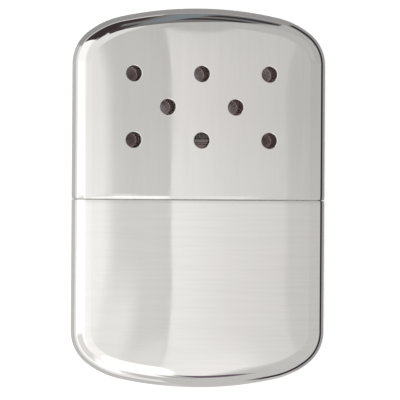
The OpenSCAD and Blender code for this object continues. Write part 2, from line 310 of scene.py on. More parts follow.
def ring(centre, radius, steps):
    a = np.linspace(0, 2 * math.pi, steps, endpoint=False)
    return np.stack([centre[0] + radius * np.cos(a), centre[1] + radius * np.sin(a)], -1)


def honeycomb(low, high, pitch):
    """Points of a triangular grid over a rectangle."""
    rows = np.arange(low[1], high[1], pitch * math.sqrt(3) / 2)
    return np.array([
        (x + (pitch / 2 if j % 2 else 0), y)
        for j, y in enumerate(rows)
        for x in np.arange(low[0], high[0], pitch)
    ])


def fill_flat(outline, holes, extra, solid):
    """Triangles between an outline, holes and more points, all in the plane. Gives the points, with the
    outline's and the holes' first, and those triangles whose middles are solid."""
    fixed = np.vstack([outline, *holes])
    points = np.vstack([fixed, *extra])
    edges, first = [], 0
    for loop in (outline, *holes):
        n = len(loop)
        edges += [(first + i, first + (i + 1) % n) for i in range(n)]
        first += n
    result = delaunay_2d_cdt([Vector(p) for p in points], edges, [], 0, 1e-6)
    number = [origin[0] for origin in result[3]]
    triangles = [tuple(number[i] for i in face) for face in result[2]]
    middles = np.array([points[list(t)].mean(0) for t in triangles])
    return points, [t for t, keep in zip(triangles, solid(middles)) if keep]


# ---- Case halves ----

def vent_centres():
    """Centres of the vents: rows of three and two in turn."""
    return [
        ((2 * i - 2 + row % 2) * VENT_STEP_X, TOP_Y - VENT_TOP - row * VENT_STEP_Y)
        for row in range(VENT_ROWS)
        for i in range(3 - row % 2)
    ]


def face_sheet(skin, height, rows, low, vents, over):
    """Adds one broad face. Gives the numbers of its points along the drawn edge, along the rim band
    and round each vent, and the triangles."""
    bx, by, _ = edge_start(height, rows)
    border = np.stack([bx, by], -1)
    steps = math.ceil((bx[-1] - bx[0]) / GRID)
    bottom = np.stack([np.linspace(bx[-1], bx[0], steps + 1), np.full(steps + 1, low)], -1)[1:-1]
    outline = np.vstack([border, bottom])
    lip = VENT_R + LIP_OUT
    holes = [ring(v, lip, VENT_STEPS) for v in vents]
    guards = [ring(v, lip + out, VENT_STEPS * 3 // 4) for v in vents for out in VENT_GUARDS]

    def off_vents(p, gap=-0.01):
        keep = np.ones(len(p), bool)
        for v in vents:
            keep &= np.hypot(p[:, 0] - v[0], p[:, 1] - v[1]) > lip + gap
        return keep

    def inside(p):
        away = (p[:, None, 0] - bx) * rows[:, 2] + (p[:, None, 1] - by) * rows[:, 3]
        return (away < -GRID_CLEAR).all(1) & (p[:, 1] > low + GRID_CLEAR) & off_vents(p, VENT_CLEAR)

    grid = honeycomb(outline.min(0) + GRID_START, outline.max(0), GRID)
    points, triangles = fill_flat(outline, holes, [*guards, grid[inside(grid)]], off_vents)
    x, y = points[:, 0], points[:, 1]
    ids = skin.add(*on_side(over, face_points(height, x, y), face_normals(height, x, y)))
    faces = [tuple(ids[i] for i in t) for t in triangles]
    n = len(border)
    along_rim = np.concatenate([[ids[0]], ids[n:len(outline)][::-1], [ids[n - 1]]])
    loops, first = [], len(outline)
    for hole in holes:
        loops.append(ids[first:first + len(hole)])
        first += len(hole)
    return ids[:n], along_rim, loops, faces


def cross_section(y, heights, columns):
    """Closed cross-section of the straight part at height y: points and normals from the left end of
    the front round by the right side, the back and the left side."""
    parts = []
    for height, over in zip(heights, (False, True)):
        ends = np.array([(-FACE_X, y, -1, 0, 0), (FACE_X, y, 1, 0, 0)], float)
        bx, _, _ = edge_start(height, ends)
        x = np.linspace(bx[0], bx[1], columns)
        level = np.full(columns, y)
        parts.append(on_side(over, face_points(height, x, level), face_normals(height, x, level)))
        parts.append(on_side(over, *drawn_edge(height, ends)))
    front, front_edge, back, back_edge = parts
    return tuple(
        np.vstack([
            front[k], front_edge[k][:, 1], back_edge[k][::-1, 1],
            back[k][::-1], back_edge[k][:, 0], front_edge[k][::-1, 0],
        ])
        for k in (0, 1)
    )


def rounded_edge(outer, inner, thickness, steps):
    """Rows round the edge of a sheet: distance from its end, depth and turn of the normal."""
    quarter = [math.pi / 2 * i / steps for i in range(steps + 1)]
    over = [(outer * (1 - math.sin(a)), outer * (1 - math.cos(a)), a) for a in quarter[1:]]
    under = [
        (inner * (1 - math.cos(a)), thickness - inner * (1 - math.sin(a)), math.pi / 2 + a) for a in quarter
    ]
    return over + under


def rim_profile(roll, reach):
    """Rows of the rim from the outside round its edge to the inside: distance from the rim's end,
    depth below the outer surface, turn of the normal, and whether the row is inside."""
    def sunk(d):
        return roll * max(0, 1 - d / reach) ** 2

    def lean(d):
        return math.atan(2 * roll / reach * max(0, 1 - d / reach))

    end = sunk(RIM_OUT)
    outside = [(d, sunk(d), lean(d), False) for d in RIM_ROWS]
    edge = [
        (d, end + depth, turn, turn > math.pi / 2)
        for d, depth, turn in rounded_edge(RIM_OUT, RIM_IN, WALL, LIP_STEPS)
    ]
    inside = [(d, WALL + sunk(d), math.pi - lean(d), True) for d in RIM_ROWS_INSIDE]
    return outside + edge + inside


def vent_profile():
    """Rows of a vent's edge: distance from its axis, depth, turn of the normal, whether inside."""
    return [
        (VENT_R + d, depth, turn, turn > math.pi / 2)
        for d, depth, turn in rounded_edge(LIP_OUT, LIP_IN, WALL, LIP_STEPS)
    ]


def strips(skin, rows, insides):
    """Covers the rows of a sheet's edge: bright outside, plain inside."""
    for k in range(len(rows) - 1):
        skin.weave(np.array(rows[k:k + 2]), 1 if insides[k + 1] else 0, closed=True)


def outer_skin(low, heights, vents):
    """Outer surface of one half of the case above height low. Gives the skin, the numbers of its points
    round the cut and round each vent on both sides, and how many stand along the cut of a broad face."""
    rows = stations(low)
    skin = Skin()
    borders, rims, loops, faces, edges = [], [], [], [], []
    for height, over in zip(heights, (False, True)):
        border, along_rim, vent_loops, triangles = face_sheet(skin, height, rows, low, vents, over)
        edge = skin.add(*on_side(over, *drawn_edge(height, rows)))
        borders.append(border)
        rims.append(along_rim)
        loops.append(vent_loops)
        faces += triangles
        edges.append(edge)
    ribbon = np.vstack([borders[0][None], edges[0], edges[1][::-1], borders[1][None]])
    skin.cover(faces)
    skin.weave(ribbon)
    cut = np.concatenate([
        rims[0], edges[0][:, -1], edges[1][::-1, -1],
        rims[1][::-1], edges[1][:, 0], edges[0][::-1, 0],
    ])
    return skin, cut, loops, len(rims[0])


def case_half(rim, heights, vents, roll):
    """One half of the case, with its end towards +Y: outer sheet, inner sheet, rim and vents."""
    skin, start, loops, columns = outer_skin(rim + RIM_BAND, heights, vents)
    outer_faces = list(skin.faces)
    n = len(skin.points)
    skin.add(skin.points - WALL * skin.normals, -skin.normals)
    skin.cover([tuple(i + n for i in face) for face in outer_faces], 1)

    rim_rows, insides = [start], [False]
    for d, depth, turn, inside in rim_profile(*roll):
        points, normals = cross_section(rim + d, heights, columns)
        look = math.cos(turn) * normals + math.sin(turn) * np.array([0, -1, 0])
        rim_rows.append(skin.add(points - depth * normals, look))
        insides.append(inside)
    strips(skin, rim_rows + [start + n], insides + [True])

    for side, (height, over) in enumerate(zip(heights, (False, True))):
        for vent, loop in zip(vents, loops[side]):
            vent_rows, insides = [loop], [False]
            for radius, depth, turn, inside in vent_profile():
                xy = ring(vent, radius, VENT_STEPS)
                points = face_points(height, xy[:, 0], xy[:, 1]) - (0, 0, depth)
                flat = face_normals(height, xy[:, 0], xy[:, 1])
                inward = np.hstack([unit(np.array(vent) - xy), np.zeros((VENT_STEPS, 1))])
                look = math.cos(turn) * flat + math.sin(turn) * inward
                vent_rows.append(skin.add(*on_side(over, points, look)))
                insides.append(inside)
            strips(skin, vent_rows + [loop + n], insides + [True])
    return skin


def crowned(*seeds):
    """Falls of the broad faces, front and back, each with ripples of its own."""
    return [lambda x, y, r=ripple(seed): fall(x, y) + r(x, y) for seed in seeds]


# ---- Sizes of the tank top and the burner, in millimetres ----

DECK_Y = node_box("tank_top")[1][1]
COLLAR_Y = node_box("tank_top")[0][1]
COLLAR_WALL = 0.5
COLLAR_OUT = -0.7
DECK_ROUND = 1.2
DECK_BAND = 1.6
DECK_COLUMNS = 241
DECK_STEPS = 8

NECK_LOW, NECK_HIGH = node_box("neck_sleeve")
NECK_W = 24.0
NECK_T = 7.0
NECK_WALL = 0.5
FLANGE_W = 0.9
FLANGE_T = 0.4
NECK_HOLE = 0.02

SKIRT_LOW, SKIRT_HIGH = node_box("burner_skirt")
SKIRT_W, _, SKIRT_T = SKIRT_HIGH - SKIRT_LOW
SHEET = 0.4
TONGUE_X = SKIRT_W / 4
TONGUE_W = 3.0
TONGUE_CUT = 0.3
TONGUE_H = 2.6

BASE_LOW, BASE_HIGH = node_box("burner_base")
CAGE_W, _, CAGE_T = BASE_HIGH - BASE_LOW
CAGE_Y = BASE_HIGH[1]
CAGE_H = 6.2
CAGE_ROUND = 0.5
BASE_SLOT = (2.8, 1.4)
BASE_SLOT_STEP = 4.88
WINDOW_W = 5.73
WINDOW_H = 4.0
WINDOW_R = 0.9
WINDOW_STEP = 7.03
SEAM_X = 15.5
SEAM_Z = 0.42
SEAM_GAP = 0.02
SEAM_BEND = 0.3
SEAM_RISE = 0.6
ROOF_STOP = 0.6
CHANNEL_WALL = 0.35
CHANNEL_ROUND = 0.5
CHANNEL_END = 0.2
SIDE_MOUTH = 0.9
TOP_MOUTH = 0.45

GAUZE_STEP = 0.45
GAUZE_WIRE = 0.07
GAUZE_DEPTH = 0.63
GAUZE_LAP = 1.6
GAUZE_MARGIN = 0.1
GAUZE_PART = 0.25

MAT_LOW, MAT_HIGH = node_box("catalyst_mat")
MAT_SIZE = (MAT_HIGH - MAT_LOW)[[0, 2]]
MAT_WALL = 1.92
MAT_ROOF = 0.68
MAT_EVEN = 0.3

WICK_LOW, WICK_HIGH = node_box("wick_felt")
WICK_SIZE = (WICK_HIGH - WICK_LOW)[[0, 2]]

# Cotton: how far it stays inside the case's surface, and its lumps
PAD_OUT = -0.85
UPPER_PAD_OUT = -1.5
PAD_BAND = 3.0
COTTON_SIZES = (3.0, 5.0, 9.0)
COTTON_DEPTH = 0.25


# ---- Sheet pressed and folded out of the flat ----

def both_sides(right):
    """A whole line from its right half, which starts in the middle. Rows are two places and two ways."""
    return np.vstack([right[::-1] * (-1, 1, -1, 1), right])


def arc(x, z, radius, turns):
    """Line along an arc in X and Z, at turns from the front towards +X."""
    sin, cos = np.sin(turns), np.cos(turns)
    return np.stack([x + radius * sin, z + radius * cos, sin, cos], -1)


def oval_line(width, thickness, steps=32):
    """Line round an oval in X and Z, from the middle of its back by the left side to the front and on."""
    r = thickness / 2
    right = arc(width / 2 - r, MID_Z, r, np.linspace(0, math.pi, steps + 1))
    return both_sides(np.vstack([right, [(0, MID_Z - r, 0, -1)]]))


def grille_line():
    """Line of a pressed half of the cage: flange, bend, round side, flat front, and the same back."""
    r, reach = CAGE_T / 2, CAGE_T / 2 + SEAM_BEND
    last = math.acos((SEAM_Z + SEAM_BEND) / reach)
    x = CAGE_W / 2 - r
    side = arc(x, MID_Z, r, np.linspace(0, last, 25))
    turns = np.linspace(last, 0, 9)[1:]
    bend = arc(x + reach * math.sin(last), MID_Z + reach * math.cos(last), -SEAM_BEND, turns)
    return both_sides(np.vstack([side, bend, [(SEAM_X, MID_Z + SEAM_Z, 0, 1)]]))


def channel_line(mouth, back):
    """Line of a folded channel from its mouth round its back, in its own plane."""
    half = SEAM_Z + CHANNEL_WALL
    r = CHANNEL_ROUND
    fold = arc(back - r, half - r, r, np.linspace(0, math.pi / 2, 9))
    upper = np.vstack([[(mouth, half, 0, 1)], fold])
    return np.vstack([upper, upper[::-1] * (1, -1, 1, -1)]) + (0, MID_Z, 0, 0)


def bent(line, order=(0, 1, 2)):
    """How flat sheet lies along a line: a function of places in the flat and of the depth below the
    outer side, which gives points, the way out and the two ways along; and the length of the line."""
    way = way_along(line)
    way -= way[-1] / 2

    def lay(flat, depth):
        a, b, na, nb = (np.interp(flat[:, 0], way, line[:, k]) for k in range(4))
        out = unit(np.stack([na, nb], -1))
        zero, one = np.zeros(len(flat)), np.ones(len(flat))
        blocks = (
            (a - depth * out[:, 0], flat[:, 1], b - depth * out[:, 1]),
            (out[:, 0], zero, out[:, 1]),
            (out[:, 1], zero, -out[:, 0]),
            (zero, one, zero),
        )
        return [np.stack(block, -1)[:, order] for block in blocks]

    return lay, way[-1]


def dense(loop, step=0.3):
    """A closed loop with its long sides parted."""
    parts = []
    for a, b in zip(loop, np.roll(loop, -1, 0)):
        n = max(1, math.ceil(np.linalg.norm(b - a) / step))
        parts.append(a + (b - a) * np.arange(n)[:, None] / n)
    return np.vstack(parts)


def rounded(centre, width, height, radius, steps=6):
    """Loop round a rectangle with rounded corners."""
    points = []
    for k, (sx, sy) in enumerate(((1, 1), (-1, 1), (-1, -1), (1, -1))):
        for a in np.linspace(0, math.pi / 2, steps + 1) + k * math.pi / 2:
            points.append((
                centre[0] + sx * (width / 2 - radius) + radius * math.cos(a),
                centre[1] + sy * (height / 2 - radius) + radius * math.sin(a),
            ))
    points = np.array(points)
    return points[np.linalg.norm(points - np.roll(points, 1, 0), axis=1) > 1e-6]


def within(points, loop):
    """Which points lie inside a closed loop."""
    a, b = loop, np.roll(loop, -1, 0)
    x, y = points[:, None, 0], points[:, None, 1]
    rise = np.where(b[:, 1] == a[:, 1], 1.0, b[:, 1] - a[:, 1])
    cross = a[:, 0] + (y - a[:, 1]) * (b[:, 0] - a[:, 0]) / rise
    return (((a[:, 1] > y) != (b[:, 1] > y)) & (x < cross)).sum(1) % 2 == 1


def void_ways(loop, is_hole):
    """The way from a sheet into the open at each point of a loop."""
    after = unit(np.roll(loop, -1, 0) - loop)
    area = (loop[:, 0] * np.roll(loop[:, 1], -1) - np.roll(loop[:, 0], -1) * loop[:, 1]).sum()
    ways = (after + np.roll(after, 1, 0))[:, ::-1] * (1, -1)
    return unit(ways) * (1 if (area > 0) != is_hole else -1)


def keeps_clear(points, fixed, distance, batch=200):
    """Which points are farther than a distance from all fixed ones."""
    keep = np.ones(len(points), bool)
    for first in range(0, len(fixed), batch):
        keep &= np.linalg.norm(points[:, None] - fixed[first:first + batch], axis=-1).min(1) > distance
    return keep


def pressed(skin, lay, outline, holes, thickness, lip=0.08, pitch=0.5, goes_on=None):
    """Adds a sheet with rounded edges to a skin and gives the skin.
    goes_on tells where the sheet's outline runs on into another form."""
    sheets, borders = [], []
    for k, loop in enumerate([outline, *holes]):
        ways = void_ways(loop, k > 0)
        runs_on = goes_on(loop) if goes_on and k == 0 else np.zeros(len(loop), bool)
        ways[runs_on] = 0
        borders.append((loop, ways, runs_on))
        sheets.append(loop - lip * ways)

    def on_sheet(spots):
        keep = within(spots, sheets[0])
        for hole in sheets[1:]:
            keep &= ~within(spots, hole)
        return keep

    fixed = np.vstack(sheets)
    grid = honeycomb(fixed.min(0), fixed.max(0), pitch)
    grid = grid[on_sheet(grid) & keeps_clear(grid, fixed, 0.5 * pitch)]
    points, faces = fill_flat(sheets[0], sheets[1:], [grid], on_sheet)
    outer, look, _, _ = lay(points, 0)
    inner, _, _, _ = lay(points, thickness)
    over, under = skin.add(outer, look), skin.add(inner, -look)
    skin.cover([tuple(over[i] for i in face) for face in faces])
    skin.cover([tuple(under[i] for i in face) for face in faces])

    first = 0
    for loop, ways, runs_on in borders:
        n = len(loop)
        rows = [over[first:first + n]]
        for back, depth, turn in rounded_edge(lip, lip, thickness, 3):
            spot, out, along_u, along_v = lay(loop - back * ways, depth)
            open_way = ways[:, :1] * along_u + ways[:, 1:] * along_v
            rows.append(skin.add(spot, math.cos(turn) * out + math.sin(turn) * open_way))
        rows.append(under[first:first + n])
        block = np.array(rows)
        block = np.hstack([block, block[:, :1]])
        ends = np.append(runs_on, runs_on[0])
        for j in range(n):
            if not (ends[j] and ends[j + 1]):
                skin.weave(block[:, j:j + 2])
        first += n
    return skin


# ---- Swept forms ----

def soft_profile(corners, radii, closed=False, steps=5):
    """Profile with rounded corners, as rows of distance out, height and the two parts of the way out.
    It runs with the material on its left."""
    corners = np.array(corners, float)
    n = len(corners)
    rows = []
    for k in range(n):
        if not closed and k in (0, n - 1):
            way = unit(corners[1] - corners[0] if k == 0 else corners[-1] - corners[-2])
            rows.append((*corners[k], way[1], -way[0]))
            continue
        come, go = unit(corners[k] - corners[k - 1]), unit(corners[(k + 1) % n] - corners[k])
        turn = math.atan2(come[0] * go[1] - come[1] * go[0], come @ go)
        reach = radii[k] * math.tan(abs(turn) / 2)
        hub = corners[k] - reach * come + math.copysign(radii[k], turn) * np.array([-come[1], come[0]])
        for i in range(steps + 1):
            a = turn * i / steps
            out = np.array([
                come[0] * math.sin(a) + come[1] * math.cos(a), come[1] * math.sin(a) - come[0] * math.cos(a),
            ])
            rows.append((*(hub + math.copysign(radii[k], turn) * out), *out))
    rows = np.array(rows)
    return np.vstack([rows, rows[:1]]) if closed else rows


def parted(rows, step):
    """Rows of a profile with the long ones parted."""
    made = [rows[:1]]
    for a, b in zip(rows, rows[1:]):
        n = max(1, math.ceil(np.linalg.norm(b[:2] - a[:2]) / step))
        made.append(a + (b - a) * np.arange(1, n + 1)[:, None] / n)
    return np.vstack(made)


def sweep(skin, line, profile):
    """Moves a profile along a line in X and Z, which closes on itself or not. Gives its points' numbers."""
    rows = []
    x, z, nx, nz = line.T
    one = np.ones(len(line))
    for out, y, way_out, way_up in profile:
        points = np.stack([x + out * nx, y * one, z + out * nz], -1)
        rows.append(skin.add(points, np.stack([way_out * nx, way_up * one, way_out * nz], -1)))
    skin.weave(rows)
    return np.array(rows)


def close_end(skin, row, up, steps=6):
    """Closes an end of a swept form along the middle plane."""
    points = skin.points[row]
    rows = [
        skin.add(points * (1, 1, 1 - k) + (0, 0, k * MID_Z), np.tile((0, up, 0), (len(row), 1)))
        for k in np.linspace(0, 1, steps + 1)
    ]
    skin.weave(rows)


def section_line(columns=60):
    """Line round the straight part of the case."""
    points, normals = cross_section(0, (fall, fall), columns)
    line = np.hstack([points[:, [0, 2]], unit(normals)[:, [0, 2]]])
    return np.vstack([line, line[:1]])


def lumps(seed, sizes, depth):
    """Loose unevenness of a soft piece, from 0 to depth, as a function of points."""
    draw = np.random.default_rng(seed)
    waves = [
        (unit(draw.normal(size=3)) * 2 * math.pi / size, draw.uniform(0, 2 * math.pi))
        for size in sizes * 3
    ]

    def sink(points):
        return depth * sum(1 + np.sin(points @ wave + phase) for wave, phase in waves) / (2 * len(waves))

    return sink


def soften(skin, sink):
    """Sinks the points of a soft piece into it and gives the piece."""
    skin.normals = unit(skin.normals)
    skin.points = skin.points - skin.normals * sink(skin.points)[:, None]
    return skin


# ---- Tank top, neck and filling ----

def evenly(line, count):
    """A closed line with its points at even steps."""
    way = way_along(line)
    return np.stack([np.interp(np.linspace(0, way[-1], count), way, column) for column in line.T], -1)


def tank_top():
    """Collar and deck, drawn in one piece, with the oval hole for the neck."""
    skin = Skin()
    line = section_line()
    inside = COLLAR_OUT - COLLAR_WALL
    rim = COLLAR_OUT - DECK_BAND
    under = DECK_Y - COLLAR_WALL
    profile = soft_profile(
        [(rim, under), (inside, under), (inside, COLLAR_Y),
         (COLLAR_OUT, COLLAR_Y), (COLLAR_OUT, DECK_Y), (rim, DECK_Y)],
        (0, DECK_ROUND - COLLAR_WALL, 0.1, 0.1, DECK_ROUND, 0), steps=8,
    )
    sweep(skin, line, parted(profile, 2.0))

    def turns(loop):
        return np.arctan2(loop[:, 0] / CASE_W, (loop[:, 1] - MID_Z) / CASE_T)

    def in_turn(loop):
        return loop[np.argsort(turns(loop))]

    edge = in_turn(line[:, :2] + rim * line[:, 2:])
    ring_out = evenly(np.vstack([edge, edge[:1]]), DECK_COLUMNS)
    hole = in_turn(oval_line(NECK_W + 2 * NECK_HOLE, NECK_T + 2 * NECK_HOLE)[:, :2])
    ring_in = np.stack([
        np.interp(turns(ring_out), turns(hole), column, period=2 * math.pi) for column in hole.T
    ], -1)
    for y, up in ((DECK_Y, 1), (under, -1)):
        rows = []
        for share in np.linspace(0, 1, DECK_STEPS + 1):
            spots = ring_out + (ring_in - ring_out) * share
            rows.append(skin.add(np.insert(spots, 1, y, 1), np.tile((0, up, 0), (DECK_COLUMNS, 1))))
        skin.weave(rows)
    return skin


def neck():
    """Oval neck with the flange that seats it on the deck."""
    low, top = NECK_LOW[1], NECK_HIGH[1]
    profile = soft_profile(
        [(-NECK_WALL, low), (0, low), (0, DECK_Y), (FLANGE_W, DECK_Y), (FLANGE_W, DECK_Y + FLANGE_T),
         (0, DECK_Y + FLANGE_T), (0, top), (-NECK_WALL, top)],
        (0.1, 0.1, 0.02, 0.12, 0.18, 0.2, 0.24, 0.24), closed=True,
    )
    skin = Skin()
    sweep(skin, oval_line(NECK_W, NECK_T, 40), profile)
    return skin


def wick():
    half = WICK_SIZE[1] / 2
    profile = soft_profile(
        [(-half, WICK_LOW[1]), (0, WICK_LOW[1]), (0, WICK_HIGH[1]), (-half, WICK_HIGH[1])],
        (0, 0.3, 0.6, 0),
    )
    skin = Skin()
    sweep(skin, evenly(oval_line(*WICK_SIZE), 180), parted(profile, 0.3))
    return soften(skin, lumps(5, (1.1, 1.9, 3.3), 0.12))


def wad(node, out):
    """A pad of cotton that fills the straight part of the tank."""
    low, high = node_box(node)
    profile = soft_profile(
        [(out - PAD_BAND, low[1]), (out, low[1]), (out, high[1]), (out - PAD_BAND, high[1])],
        (0, 1.5, 1.5, 0),
    )
    skin = Skin()
    rows = sweep(skin, section_line(), parted(profile, 1.0))
    close_end(skin, rows[0], -1)
    close_end(skin, rows[-1], 1)
    return soften(skin, lumps(11, COTTON_SIZES, COTTON_DEPTH))


def end_wad(node):
    """The pad of cotton in the end of the tank, with that end towards +Y."""
    low = -node_box(node)[1][1]
    skin, cut, _, _ = outer_skin(low, (fall, fall), [])
    skin.points = skin.points + PAD_OUT * unit(skin.normals)
    close_end(skin, np.append(cut, cut[0]), -1)
    return soften(skin, lumps(17, COTTON_SIZES, COTTON_DEPTH))


# ---- Burner ----

def strip_outline(length, low, high, step=0.3):
    return dense(np.array([(-length, low), (length, low), (length, high), (-length, high)]), step)


def burner_skirt():
    """Sleeve that grips the neck with sprung tongues, which are cut free on three sides."""
    lay, half = bent(oval_line(SKIRT_W, SKIRT_T))
    w, cut, h = TONGUE_W / 2, TONGUE_CUT, TONGUE_H / 2
    slit = np.array([
        (-w - cut, h), (-w - cut, -h), (w + cut, -h), (w + cut, h),
        (w, h), (w, cut - h), (-w, cut - h), (-w, h),
    ])
    middle = (SKIRT_LOW[1] + SKIRT_HIGH[1]) / 2
    places = (-TONGUE_X, TONGUE_X, TONGUE_X - half, half - TONGUE_X)
    holes = [dense(slit + (x, middle), 0.25) for x in places]
    return pressed(Skin(), lay, strip_outline(half, SKIRT_LOW[1], SKIRT_HIGH[1]), holes, SHEET, 0.06)


def burner_base():
    """Oval plate with the slots that let the vapour into the former."""
    line = np.array([(-CAGE_W / 2, CAGE_Y, 0, 1), (CAGE_W / 2, CAGE_Y, 0, 1)])
    lay, _ = bent(line, (0, 2, 1))
    outline = dense(oval_line(CAGE_W, CAGE_T, 40)[:-1, :2])
    holes = [rounded(((i - 2) * BASE_SLOT_STEP, MID_Z), *BASE_SLOT, BASE_SLOT[1] / 2) for i in range(5)]
    return pressed(Skin(), lay, outline, holes, SHEET, 0.12)


def grille():
    """Front half of the cage: a pressed sheet with windows, a roof, and flanges for the seams."""
    lay, half = bent(grille_line())
    top = CAGE_Y + CAGE_H
    start = top - CAGE_ROUND
    flange = half - (SEAM_X - CAGE_W / 2) - ROOF_STOP
    middle = CAGE_Y + (CAGE_H - SHEET) / 2
    holes = [rounded(((i - 1) * WINDOW_STEP, middle), WINDOW_W, WINDOW_H, WINDOW_R) for i in range(3)]
    skin = Skin()
    pressed(
        skin, lay, strip_outline(half, CAGE_Y, start), [dense(hole) for hole in holes], SHEET, 0.1,
        goes_on=lambda p: (p[:, 1] > start - 0.01) & (np.abs(p[:, 0]) < flange),
    )
    r = CAGE_T / 2
    side = arc(CAGE_W / 2 - r, MID_Z, r, np.linspace(0, math.pi / 2, 31))
    ridge = both_sides(np.vstack([[(0, MID_Z + r, 0, 1)], side]))
    seam = SEAM_GAP - r
    sweep(skin, ridge, soft_profile([(0, start), (0, top), (seam, top)], (0, CAGE_ROUND, 0), steps=8))
    sweep(skin, ridge, soft_profile(
        [(seam, top - SHEET), (-SHEET, top - SHEET), (-SHEET, start)], (0, CAGE_ROUND - SHEET, 0),
    ))
    edge = CAGE_W / 2 - r
    stand, reach = bent(np.array([(-edge, MID_Z + SEAM_Z, 0, 1), (edge, MID_Z + SEAM_Z, 0, 1)]))
    pressed(skin, stand, strip_outline(reach, top - SHEET, top + SEAM_RISE), [], SHEET, 0.06)
    return skin


def side_channel():
    """Folded channel on the right seam of the cage."""
    lay, half = bent(channel_line(SEAM_X - SIDE_MOUTH, SEAM_X + CHANNEL_WALL))
    outline = strip_outline(half, CAGE_Y + CHANNEL_END, CAGE_Y + CAGE_H - CHANNEL_END, 0.15)
    return pressed(Skin(), lay, outline, [], CHANNEL_WALL, 0.08, 0.3)


def top_channel():
    """Folded channel on the seam of the cage's roof."""
    top = CAGE_Y + CAGE_H + SEAM_RISE
    lay, half = bent(channel_line(top - TOP_MOUTH, top + CHANNEL_WALL), (1, 0, 2))
    reach = (CAGE_W - CAGE_T) / 2
    return pressed(Skin(), lay, strip_outline(half, -reach, reach, 0.15), [], CHANNEL_WALL, 0.08, 0.3)


def gauze():
    """Woven wire cloth on the front of the mat, whose sides follow the cage."""
    lay, _ = bent(oval_line(CAGE_W, CAGE_T, 48))
    low, high = MAT_LOW[1] + GAUZE_MARGIN, MAT_HIGH[1] - GAUZE_MARGIN
    reach = (CAGE_W - CAGE_T) / 2 + GAUZE_LAP
    columns = int(2 * reach / GAUZE_STEP)
    lines = int((high - low) / GAUZE_STEP)
    skin = Skin()

    def place_x(column):
        return (column - (columns - 1) / 2) * GAUZE_STEP

    def place_y(line):
        return low + (line + 0.5) * (high - low) / lines

    def wire(t, x, y, sign):
        flat = np.stack(np.broadcast_arrays(x, y), -1)
        spot, out, _, _ = lay(flat, GAUZE_DEPTH + sign * GAUZE_WIRE * np.cos(math.pi * t))
        ahead = unit(np.gradient(spot, axis=0))
        across = unit(np.cross(ahead, out))
        up = np.cross(across, ahead)
        rows = []
        for a in np.linspace(0, 2 * math.pi, 7)[:-1]:
            look = math.cos(a) * across + math.sin(a) * up
            rows.append(skin.add(spot + GAUZE_WIRE * look, look))
        skin.weave(rows + rows[:1])

    # Places along the wires, counted in crossings
    across_t = np.arange(0, columns - 1 + 0.01, GAUZE_PART)
    upright_t = np.arange(0, lines - 1 + 0.01, GAUZE_PART)
    for j in range(lines):
        wire(across_t, place_x(across_t), place_y(j), (-1) ** j)
    for i in range(columns):
        wire(upright_t, place_x(i), place_y(upright_t), -(-1) ** i)
    return skin


def catalyst():
    """Mat of glass fibre, like a cap over the former."""
    half = MAT_SIZE[1] / 2
    low, top = MAT_LOW[1], MAT_HIGH[1]
    roof = top - MAT_ROOF
    profile = soft_profile(
        [(-half, roof), (-MAT_WALL, roof), (-MAT_WALL, low), (0, low), (0, top), (-half, top)],
        (0, 0.1, 0.1, 0.2, 0.8, 0),
    )
    skin = Skin()
    sweep(skin, evenly(oval_line(*MAT_SIZE), 320), parted(profile, 0.2))
    outside = np.abs(skin.points[:, 2] - MID_Z) > half - MAT_WALL + MAT_EVEN
    sink = lumps(23, (0.5, 0.9, 1.7), 0.1)
    return soften(skin, lambda points: sink(points) * outside)


# ---- Materials ----

class Nodes:
    """Nodes of a material or of the room, fed with constants or with the outputs of other nodes."""

    def __init__(self, owner, coordinates):
        owner.use_nodes = True
        self.owner = owner
        self.tree = owner.node_tree
        self.where = self.add("TexCoord", coordinates)

    def feed(self, node, key, value):
        socket = node.inputs[key]
        if isinstance(value, bpy.types.NodeSocket):
            self.tree.links.new(value, socket)
        else:
            socket.default_value = value

    def add(self, kind, output=0, **given):
        """Adds a node with its settings, and its inputs by name or as in0, in1 and so on. Gives an output."""
        node = self.tree.nodes.new("ShaderNode" + kind)
        for key, value in given.items():
            if hasattr(node, key):
                setattr(node, key, value)
            else:
                self.feed(node, int(key[2:]) if key.startswith("in") else key, value)
        return node.outputs[output]

    def work(self, operation, a, b=0.0):
        return self.add("Math", operation=operation, in0=a, in1=b)

    def span(self, value, first, last, low=0.0, high=1.0, kind="LINEAR"):
        """Carries a value from the range first to last over to low to high."""
        return self.add("MapRange", interpolation_type=kind, in0=value, in1=first, in2=last, in3=low, in4=high)

    def mix(self, share, first, second, kind="MIX"):
        """Mixes two colours, each an output or three numbers."""
        first, second = (c if isinstance(c, bpy.types.NodeSocket) else (*c, 1) for c in (first, second))
        return self.add("MixRGB", blend_type=kind, Fac=share, Color1=first, Color2=second)

    def noise(self, scale, detail, roughness=0.5, where=None):
        """Noise of one scale, or stretched by three."""
        where = where or self.where
        if isinstance(scale, tuple):
            where, scale = self.add("Mapping", Vector=where, Scale=scale), 1.0
        return self.add("TexNoise", Vector=where, Scale=scale, Detail=detail, Roughness=roughness)

    def bump(self, height, strength, distance):
        return self.add("Bump", Strength=strength, Distance=distance, Height=height)

    def surface(self, inputs):
        """Feeds the surface shader of a material and gives the material."""
        for name, value in inputs.items():
            self.feed(self.tree.nodes["Principled BSDF"], name, value)
        return self.owner


def new_material(name):
    return Nodes(bpy.data.materials.new(name), "Object")


